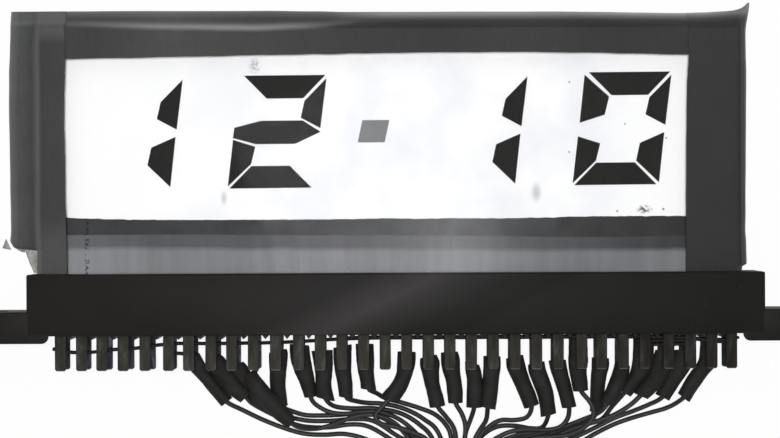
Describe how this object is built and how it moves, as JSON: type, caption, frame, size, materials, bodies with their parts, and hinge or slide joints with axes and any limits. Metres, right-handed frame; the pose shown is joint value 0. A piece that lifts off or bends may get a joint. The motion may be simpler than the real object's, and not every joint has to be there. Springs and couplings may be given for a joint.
{
  "type": "liquid crystal display",
  "caption": "Four-digit liquid crystal display cell bound in black tape, its ledge plugged into a card-edge connector with sleeved flying leads gathered in a tied loom.",
  "frame": {"origin": "middle of the flat back face of the connector housing", "axes": "+X along the connector to the viewer's right, +Y up the glass away from the leads, +Z out of the display's face"},
  "size_m": [0.158, 0.1146, 0.0097],
  "materials": {
    "plate_glass": "clear polished plate glass",
    "seal_resin": "dark epoxy seal",
    "cell_pattern": "pale layer with near-black segments",
    "front_film": "neutral grey polarising film",
    "rear_film": "white diffusing film",
    "binding_tape": "satin black PVC tape",
    "moulding": "black phenolic moulding, with tinned solder tails and bus wires",
    "shrink_sleeve": "black heat-shrink sleeving",
    "lead_insulation": "black PVC insulation",
    "tie_nylon": "black nylon"
  },
  "bodies": {
    "root": {"front_glass": "plate_glass", "rear_glass": "plate_glass", "cell_seal": "seal_resin", "liquid_crystal": "cell_pattern", "front_polariser": "front_film", "rear_polariser": "rear_film", "tape_top": "binding_tape", "tape_left": "binding_tape", "tape_right": "binding_tape", "connector_housing": "moulding", "sleeve_07": "shrink_sleeve", "sleeve_08": "shrink_sleeve", "sleeve_09": "shrink_sleeve", "sleeve_10": "shrink_sleeve", "sleeve_11": "shrink_sleeve", "sleeve_12": "shrink_sleeve", "sleeve_13": "shrink_sleeve", "sleeve_14": "shrink_sleeve", "sleeve_15": "shrink_sleeve", "sleeve_17": "shrink_sleeve", "sleeve_18": "shrink_sleeve", "sleeve_19": "shrink_sleeve", "sleeve_20": "shrink_sleeve", "sleeve_21": "shrink_sleeve", "sleeve_22": "shrink_sleeve", "sleeve_23": "shrink_sleeve", "sleeve_24": "shrink_sleeve", "sleeve_25": "shrink_sleeve", "sleeve_26": "shrink_sleeve", "sleeve_27": "shrink_sleeve", "sleeve_28": "shrink_sleeve", "sleeve_29": "shrink_sleeve", "sleeve_30": "shrink_sleeve", "sleeve_31": "shrink_sleeve", "lead_07": "lead_insulation", "lead_08": "lead_insulation", "lead_09": "lead_insulation", "lead_10": "lead_insulation", "lead_11": "lead_insulation", "lead_12": "lead_insulation", "lead_13": "lead_insulation", "lead_14": "lead_insulation", "lead_15": "lead_insulation", "lead_17": "lead_insulation", "lead_18": "lead_insulation", "lead_19": "lead_insulation", "lead_20": "lead_insulation", "lead_21": "lead_insulation", "lead_22": "lead_insulation", "lead_23": "lead_insulation", "lead_24": "lead_insulation", "lead_25": "lead_insulation", "lead_26": "lead_insulation", "lead_27": "lead_insulation", "lead_28": "lead_insulation", "lead_29": "lead_insulation", "lead_30": "lead_insulation", "lead_31": "lead_insulation", "loom": "lead_insulation", "loom_tie": "tie_nylon"}
  },
  "joints": []
}
